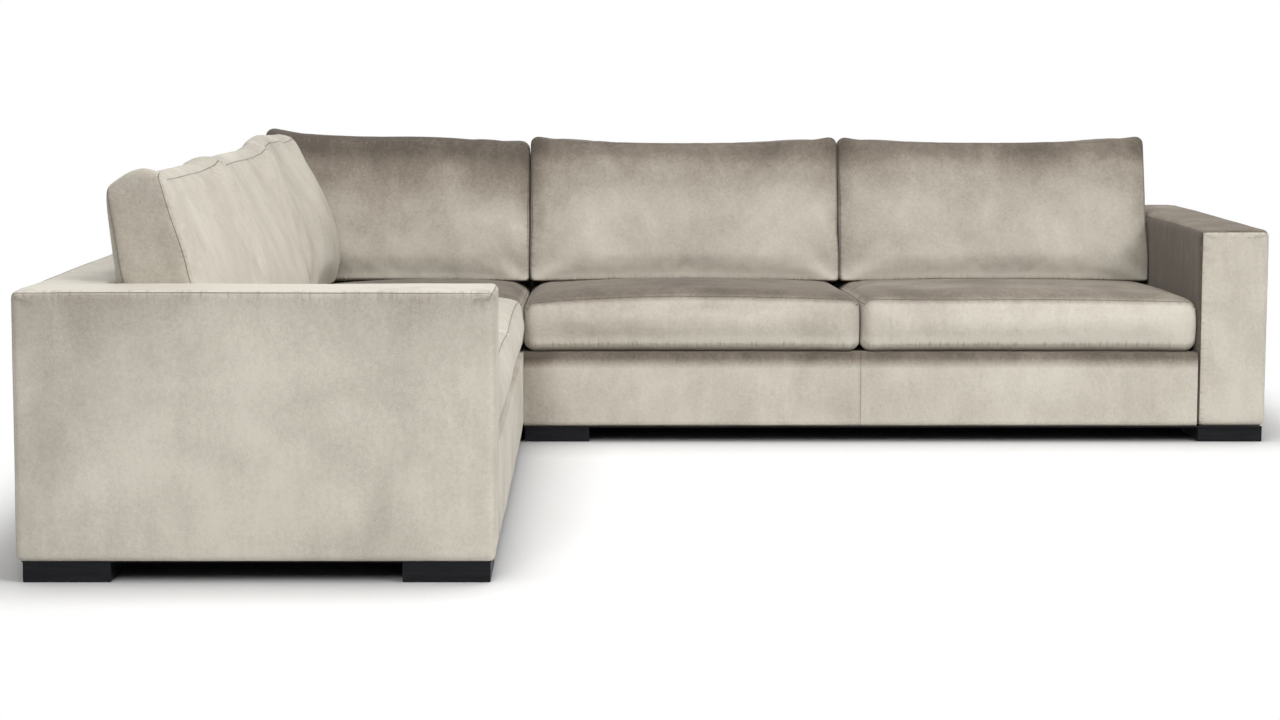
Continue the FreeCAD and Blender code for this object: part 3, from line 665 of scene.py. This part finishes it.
def paintedLightOf(name, unit, out):
    cushion = looseCushions[name]
    measures = {"up": out.z, "high": unit.z, "left": unit.x, "end": min(unit.x, 1 - unit.x),
                "nearFace": unit.x < 0.01}
    tone = layered(cushionPaintedLight[cushion["kind"], cushion["run"]], measures)
    tone += layered(cushionPaintedLightMore.get(name, (0, ())), measures)
    if (cushion["kind"], cushion["run"]) == ("back", "far"):
        tone *= 1 - rearPaintedLightCut * softStep(unit.y, 0.3, 1.0)
    return tone


for name, piece in pieces.items():
    cushion, mesh = looseCushions[name], piece.data
    kind, start, length = cushion["kind"], cushion["start"], cushion["length"]
    refit(name, mesh)
    for vert in mesh.vertices:
        vert.co = seated(name, vert.co.copy())
    mesh.update()
    nap = [paintedLightOf(name, unit, vert.normal) for unit, vert in zip(units[name], mesh.vertices)]
    for vert in mesh.vertices:
        vert.co = inRoom(vert.co, cushion["run"], start)
    cutX, cutY, cutZ = cushionMake["cut"]
    cut = Vector((length * cutX + start, start * cutY, len(name) * cutZ))
    paint(piece, "nap", nap)
    paint(piece, "loose", [1.0] * len(nap))
    paint(piece, "cut", [cut] * len(nap))
    smooth = piece.modifiers.new("smooth", "SUBSURF")
    smooth.levels = smooth.render_levels = 1
    mesh.update()
    0.9 if kind == "seat" else 0.75
print("cushions set:", len(pieces))


# zips: a tape sewn into the rear of each cushion's cover, with its coil along the middle

zipMake = {
    "share": 0.62,           # of the cushion's length
    "wide": 0.026, "coil": 0.006, "tapeProud": 0.0006, "coilProud": 0.0010, "sunk": 0.001,
    "pitch": 0.02, "seatRise": 0.066, "backRise": 0.260,
    "from": 1.2,             # metres behind the front, from where the cover's rear is sought
}
zipTape = plainCloth("zipTape", (0.34, 0.30, 0.25), (0.24, 0.21, 0.17), 700.0)

for name, piece in pieces.items():
    cushion = looseCushions[name]
    run, start, length = cushion["run"], cushion["start"], cushion["length"]
    surface = BVHTree.FromPolygons([vert.co for vert in piece.data.vertices],
                                   [face.vertices for face in piece.data.polygons])
    rise = zipMake["seatRise"] if cushion["kind"] == "seat" else zipMake["backRise"]
    behind = inRoom(Vector((0, 1, 0)), run, 0) - inRoom(Vector((0, 0, 0)), run, 0)
    reach, half, coil = zipMake["share"] * length, zipMake["wide"] / 2, zipMake["coil"] / 2
    bm = clothBox([evenly(reach, zipMake["pitch"]), (0.0, 1.0), (-half, -coil, coil, half)])
    for vert in bm.verts:
        along, outside, across = vert.co
        spot = Vector(((length - reach) / 2 + along, zipMake["from"], rise + across))
        onCover = surface.ray_cast(inRoom(spot, run, start), -behind)[0]
        proud = zipMake["coilProud"] if abs(across) < half * 0.9 else zipMake["tapeProud"]
        vert.co = onCover + behind * (proud if outside > 0.5 else -zipMake["sunk"])
    bmesh.ops.recalc_face_normals(bm, faces=bm.faces)
    finished(bm, name + "_zip", name, (), zipTape)
print("zips sewn:", len(pieces))


# arms, backs and front borders: padded timber, tightly covered

wallMake = {
    "base": 0.0466, "top": 0.633, "border": 0.267,
    "edge": 0.015, "farArmEdge": 0.022,           # radius of the padded edges
    "pitch": 0.024, "edgeLines": (0.0, 0.0025, 0.006, 0.010, 0.015, 0.022), "leastInner": 0.004,
    "seamScale": 0.55,       # a seam lies on a rounded edge, where its width is foreshortened
    "middleSeam": 3.5,       # the border's middle seam shows as a thin line
    "noSeam": 0.5,           # metres to a seam where none is near
    "crown": 0.003, "crownReach": 0.12,           # swelling of a face, and how soon it is full
    "wave": 0.0022, "wavesPerMetre": 2.6,
    "armCrown": 0.016, "armCrownOver": (0.0, 0.7), "armCrownEnd": (1.0, 0.93), "armCrownReach": 0.05,
    "sideShift": 2.3, "cut": 3.7,                 # spread edges and panels over the roll of velvet
}

# name: low and high corner in plan, top, replaced nodes, edges with a seam, faces against cushions,
# ends that meet the next wall flush
walls = {
    "near_arm": ((-1.620, -1.475), (-0.585, -1.270), "top", ("near_arm_cover", "near_arm_padding"),
                 ("z1y0", "z1x1", "z1x0"), ("y1",), ()),
    "far_arm": ((1.415, 0.440), (1.620, 1.475), "top", ("far_arm_cover", "far_arm_padding"),
                ("z1y0", "y0x0", "z1x1"), ("x0",), ()),
    "far_back": ((-1.620, 1.305), (1.415, 1.475), "top", ("far_back_cover", "far_back_padding"),
                 ("z1y1",), ("y0",), ("x1",)),
    "side_back": ((-1.620, -1.283), (-1.450, 0.440), "top", ("side_back_cover", "side_back_padding"),
                  ("z1x0",), ("x1",), ("y0",)),
    "corner_back": ((-1.620, 0.440), (-1.450, 1.318), "top", ("corner_back_cover",),
                    ("z1x0",), ("x1",), ("y1",)),
    "far_border": ((-0.585, 0.440), (1.415, 0.483), "border",
                   ("far_border_cover", "far_border_padding"), (), ("y1",), ("x0", "x1")),
    "side_border": ((-0.628, -1.270), (-0.585, 0.440), "border",
                    ("side_border_cover", "side_border_padding"), (), ("x0",), ("y0", "y1")),
}

# painted light and shade of the walls, partly the velvet's nap, as for the cushions. inner and top are
# tones of those faces
wallPaintedLight = {
    # the near arm: painted light on its top, painted shade high on its faces, most to the left
    "near_arm": {"top": 0.34, "rest": (0.08, (
        (-0.20, ("high", 0.62, 1.0)),
        (-0.24, ("across", 0.6, 0.1), ("high", 0.5, 1.0))))},
    # the far arm: painted shade on its inner face and its top
    "far_arm": {"inner": -1.2, "top": -0.8, "rest": (0.05, ())},
    # the far border: painted shadow of the seats' overhang along its top, painted shade at its left end
    "far_border": {"rest": (0.05, (
        (-1.1, ("high", 0.80, 0.96)),
        (-0.5, ("across", 0.07, 0.0))))},
    "side_border": {"rest": (0.12, ())},
}
backWallPaintedLight = {"top": 0.12, "rest": (0.0, ())}


def wallLines(length):
    edge = [place for place in wallMake["edgeLines"] if place < length / 2 - wallMake["leastInner"]]
    inner = evenly(length - 2 * edge[-1], wallMake["pitch"])[1:-1]
    return edge + [edge[-1] + place for place in inner] + [length - place for place in reversed(edge)]


def wallPaintedLightOf(name, spot, size, out):
    tones = wallPaintedLight.get(name, backWallPaintedLight)
    if out.x < -0.6 and "inner" in tones:
        return tones["inner"]
    if out.z > 0.6 and "top" in tones:
        return tones["top"]
    return layered(tones["rest"], {"high": spot.z / size.z, "across": spot.x / size.x})


for name, (lowPlan, highPlan, top, nodes, seamEdges, held, flush) in walls.items():
    low = Vector((*lowPlan, wallMake["base"]))
    high = Vector((*highPlan, wallMake[top]))
    size = high - low
    bm = clothBox([wallLines(extent) for extent in size])
    edge = wallMake["farArmEdge"] if name == "far_arm" else wallMake["edge"]
    faces = {letter + side: (axis, side == "1") for axis, letter in enumerate("xyz") for side in "01"}
    seams, alongs, paintedLights = [], [], []
    for vert in bm.verts:
        flat = vert.co.copy()
        near = {face: size[axis] - flat[axis] if far else flat[axis] for face, (axis, far) in faces.items()}
        distances = [max(near[pair[:2]], near[pair[2:]]) for pair in seamEdges]
        if top == "border":                       # the two halves of a border are sewn at its middle
            middle, front = (0, "y0") if name == "far_border" else (1, "x1")
            offMiddle = abs(flat[middle] - size[middle] / 2) * wallMake["middleSeam"]
            distances.append(offMiddle if near[front] < 0.02 else wallMake["noSeam"])
        seams.append(min(distances, default=wallMake["noSeam"]) * wallMake["seamScale"])
        reach = [min(part, extent - part) for part, extent in zip(flat, size)]
        longest = max(range(3), key=lambda axis: reach[axis])
        alongs.append(flat[longest] + longest * wallMake["sideShift"])
        core = Vector(min(extent - edge, max(edge, part)) for part, extent in zip(flat, size))
        for face in flush:
            if near[face] < edge:
                axis = faces[face][0]
                core[axis] = flat[axis]
        away = flat - core
        out = away.normalized()
        spot = core + out * min(edge, away.length)
        if not any(near[face] < 1e-6 for face in held + flush + ("z0",)):
            inward = min((part for part in reach if part > 1e-6), default=0.0)
            bell = min(1.0, inward / wallMake["crownReach"])
            place = (spot + low) * wallMake["wavesPerMetre"]
            soft = noise.noise(place) + 0.5 * noise.noise(place * 2.7)
            spot += out * (wallMake["crown"] * bell + wallMake["wave"] * soft)
            if name == "far_arm":                 # its pad is fuller towards the back
                part = flat.y / size.y
                full = softStep(part, *wallMake["armCrownOver"]) * softStep(part, *wallMake["armCrownEnd"])
                full *= max(0.0, out.z) * min(1.0, reach[0] / wallMake["armCrownReach"])
                spot.z += wallMake["armCrown"] * full
        paintedLights.append(wallPaintedLightOf(name, flat, size, out))
        vert.co = spot + low
    piece = finished(bm, name, "root", nodes, velvetCloth)
    paint(piece, "seam", seams)
    paint(piece, "along", alongs)
    paint(piece, "nap", paintedLights)
    paint(piece, "cut", [low * wallMake["cut"]] * len(paintedLights))
    joined = bmesh.new()                          # points that fell together at a flush end are joined
    joined.from_mesh(piece.data)
    bmesh.ops.remove_doubles(joined, verts=joined.verts, dist=1e-5)
    joined.to_mesh(piece.data)
    joined.free()
print("walls covered:", len(walls))


# decks: cloth stretched over the webbing, sewn from panels with a stitched channel behind the front

deckMake = {
    "low": 0.252, "top": 0.2668, "pitch": 0.035, "sag": 0.004,
    "groove": 0.002, "grooveHalf": 0.004, "channel": 0.075,    # behind the panel's front
}

# panels of each deck: low and high corner in plan, and the axis that its front lies across
decks = {
    "far_deck": (((-1.450, 0.440), (-0.5855, 1.305), "y"), ((-0.585, 0.483), (1.415, 1.305), "y")),
    "side_deck": (((-1.450, -1.270), (-0.628, 0.4395), "x"),),
}

for name, panels in decks.items():
    bm = bmesh.new()
    for low, high, front in panels:
        size = Vector((*high, deckMake["top"])) - Vector((*low, deckMake["low"]))
        stitched = deckMake["channel"] if front == "y" else size.x - deckMake["channel"]
        across = 1 if front == "y" else 0
        lines = [evenly(size.x, deckMake["pitch"]), evenly(size.y, deckMake["pitch"]), (0.0, size.z)]
        lines[across] += [stitched - deckMake["grooveHalf"], stitched, stitched + deckMake["grooveHalf"]]
        lines[across].sort()
        panel = clothBox(lines)
        for vert in panel.verts:
            upper = vert.co.z > size.z / 2
            sag = math.sin(math.pi * vert.co.x / size.x) * math.sin(math.pi * vert.co.y / size.y)
            groove = abs(vert.co[across] - stitched) < 0.001
            vert.co += Vector((*low, deckMake["low"]))
            if upper:
                vert.co.z -= deckMake["sag"] * max(0.0, sag) + deckMake["groove"] * groove
        sewn = bpy.data.meshes.new(name)
        panel.to_mesh(sewn)
        panel.free()
        bm.from_mesh(sewn)
        bpy.data.meshes.remove(sewn)
    finished(bm, name + "_cloth", "root", (name,), slotFinishes["deck_cloth"])
print("decks stretched:", len(decks))


# floor, lights and background

stageSetup = {
    "size": 60,
    "floor": 0.72, "cameraFloor": 0.98,      # the paper's tone for the light, and for the camera
    "world": 0.19, "background": 1.0,
    "half": (1.62, 1.475, 0.0), "margin": (0.10, 0.42),   # shadows end this far outside the sofa
    "contactShadowReach": 0.30, "contactShadowDepth": 0.70,
}
white = (1.0, 1.0, 1.0)
nought = (0.0, 0.0, 0.0)

bm = bmesh.new()
bmesh.ops.create_grid(bm, x_segments=1, y_segments=1, size=stageSetup["size"])
floorMesh = bpy.data.meshes.new("floor")
bm.to_mesh(floorMesh)
bm.free()
floor = placed("floor", floorMesh)
paper = Finish(bpy.data.materials.new("floorPaper"))
seen = paper.node("ShaderNodeLightPath", output="Is Camera Ray")
# painted contact shadow: ambient occlusion darkens the floor the camera sees near the sofa
contactShadow = paper.node("ShaderNodeAmbientOcclusion", {"samples": 8},
                     {"Distance": stageSetup["contactShadowReach"]}, output="AO")
tone = paper.ramp(seen, 0.0, 1.0, (stageSetup["floor"], stageSetup["cameraFloor"]), smooth=False)
tone = tone * (1 - seen * (1 - contactShadow) * stageSetup["contactShadowDepth"])
floorColour = paper.node("ShaderNodeCombineColor", None, {0: tone, 1: tone, 2: tone})
matt = paper.principled({"Base Color": floorColour, "Roughness": 1.0, "Specular IOR Level": 0.0})
spread = paper.place()
for operation, operand in (("ABSOLUTE", nought), ("SUBTRACT", stageSetup["half"]), ("MAXIMUM", nought)):
    spread = paper.vectors(operation, spread, operand)
spread = paper.node("ShaderNodeVectorMath", {"operation": "LENGTH"}, {0: spread}, output="Value")
farOff = paper.ramp(spread, *stageSetup["margin"]) * seen      # beyond it the paper is plain white
glow = paper.node("ShaderNodeEmission", None, {"Color": white, "Strength": 1.0})
floorMesh.materials.append(paper.close(paper.node("ShaderNodeMixShader", None, {
    0: farOff, 1: matt, 2: glow})))

world = bpy.data.worlds.new("studio")
bpy.context.scene.world = world
studio = Finish(world)
straight, glossy, clear = (studio.node("ShaderNodeLightPath", output=ray) for ray in
                           ("Is Camera Ray", "Is Glossy Ray", "Is Transmission Ray"))
plain = straight.maths("MAXIMUM", straight.maths("MAXIMUM", straight, glossy), clear)
strength = studio.ramp(plain, 0.0, 1.0, (stageSetup["world"], stageSetup["background"]), smooth=False)
studio.close(studio.node("ShaderNodeBackground", None, {"Color": white, "Strength": strength}), "World")

lamps = [
    # name, place, aimed at, size, watts
    ("key", (4.6, -4.4, 4.8), (0.0, 0.2, 0.4), 2.6, 262),
    ("front", (-1.4, -6.6, 4.6), (0.0, 0.0, 0.4), 3.0, 212),
    ("top", (0.4, -0.4, 5.2), (0.0, -0.2, 0.0), 3.6, 130),
    ("rear", (-2.4, 6.6, 2.0), (-0.4, 0.8, 0.4), 3.0, 90),
]
for name, place, aim, size, watts in lamps:
    data = bpy.data.lights.new(name, "AREA")
    data.shape, data.size, data.energy = "SQUARE", size, watts
    lamp = placed(name, data)
    lamp.location = place
    lamp.rotation_euler = (Vector(aim) - Vector(place)).to_track_quat("-Z", "Y").to_euler()
print("lights set")
